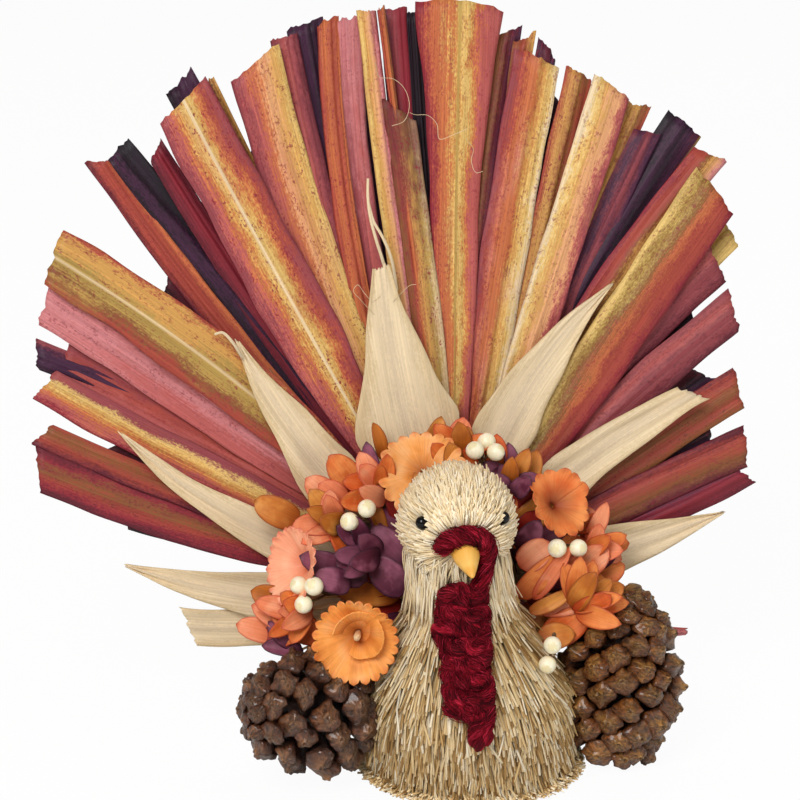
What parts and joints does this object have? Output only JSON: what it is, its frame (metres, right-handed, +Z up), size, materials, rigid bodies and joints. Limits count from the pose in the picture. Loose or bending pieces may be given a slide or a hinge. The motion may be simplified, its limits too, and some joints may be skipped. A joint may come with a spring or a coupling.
{
  "type": "turkey table decoration",
  "caption": "Turkey figure of straw-coloured bristle with pine cones and shaved-wood flowers at its sides and a fan tail of dyed husk strips, standing on a flat foot.",
  "frame": {"origin": "centre of the foot board's underside, on the surface the figure stands on", "axes": "+Z up, the face looks along -Y, +X to the right as seen by a person who faces the figure"},
  "size_m": [0.3346, 0.1505, 0.3275],
  "materials": {
    "board_wood": "raw",
    "foam": "matt foam",
    "natural_fibre": "cut straw-coloured plant fibre",
    "black_bead": "glossy",
    "beak_felt": "matt felt",
    "red_yarn": "soft roving",
    "pine_cone": "satin varnish",
    "orange_shaving": "dyed thin shaving",
    "purple_shaving": "dyed thin shaving",
    "cream_berry": "satin",
    "natural_husk": "dry husk",
    "eggplant_husk": "dyed dry husk",
    "maroon_husk": "dyed dry husk",
    "mauve_husk": "dyed dry husk",
    "pink_husk": "dyed dry husk",
    "rust_husk": "dyed dry husk",
    "golden_husk": "dyed dry husk",
    "olive_husk": "dyed dry husk"
  },
  "bodies": {
    "root": {"foot_board": "board_wood", "tail_board": "board_wood", "neck_dowel": "board_wood", "body_core": "foam", "head_core": "foam", "flower_collar": "foam", "head_bristles": "natural_fibre", "breast_bristles": "natural_fibre", "skirt_bristles": "natural_fibre", "left_eye": "black_bead", "right_eye": "black_bead", "beak": "beak_felt", "wattle_yarn": "red_yarn", "left_pine_cone": "pine_cone", "right_pine_cone": "pine_cone", "low_left_trumpet": "orange_shaving", "left_trumpet": "orange_shaving", "top_trumpet": "orange_shaving", "right_trumpet": "orange_shaving", "top_left_petals": "orange_shaving", "left_petals": "orange_shaving", "low_left_petals": "orange_shaving", "top_petals": "orange_shaving", "right_petals": "orange_shaving", "low_right_petals": "orange_shaving", "left_purple_petals": "purple_shaving", "right_purple_petals": "purple_shaving", "top_berries": "cream_berry", "upper_left_berries": "cream_berry", "low_left_berries": "cream_berry", "right_berries": "cream_berry", "low_right_berries": "cream_berry", "bract_1": "natural_husk", "bract_2": "natural_husk", "bract_3": "natural_husk", "bract_4": "natural_husk", "bract_5": "natural_husk", "bract_6": "natural_husk", "bract_7": "natural_husk", "bract_8": "natural_husk", "husk_05": "eggplant_husk", "husk_09": "eggplant_husk", "husk_13": "eggplant_husk", "husk_25": "eggplant_husk", "husk_01": "maroon_husk", "husk_28": "mauve_husk", "husk_12": "mauve_husk", "husk_30": "mauve_husk", "husk_06": "mauve_husk", "husk_29": "mauve_husk", "husk_03": "pink_husk", "husk_11": "rust_husk", "husk_26": "rust_husk", "husk_31": "rust_husk", "husk_21": "golden_husk", "husk_23": "golden_husk", "husk_10": "golden_husk", "husk_19": "golden_husk", "husk_07": "olive_husk", "husk_27": "olive_husk"}
  },
  "joints": []
}
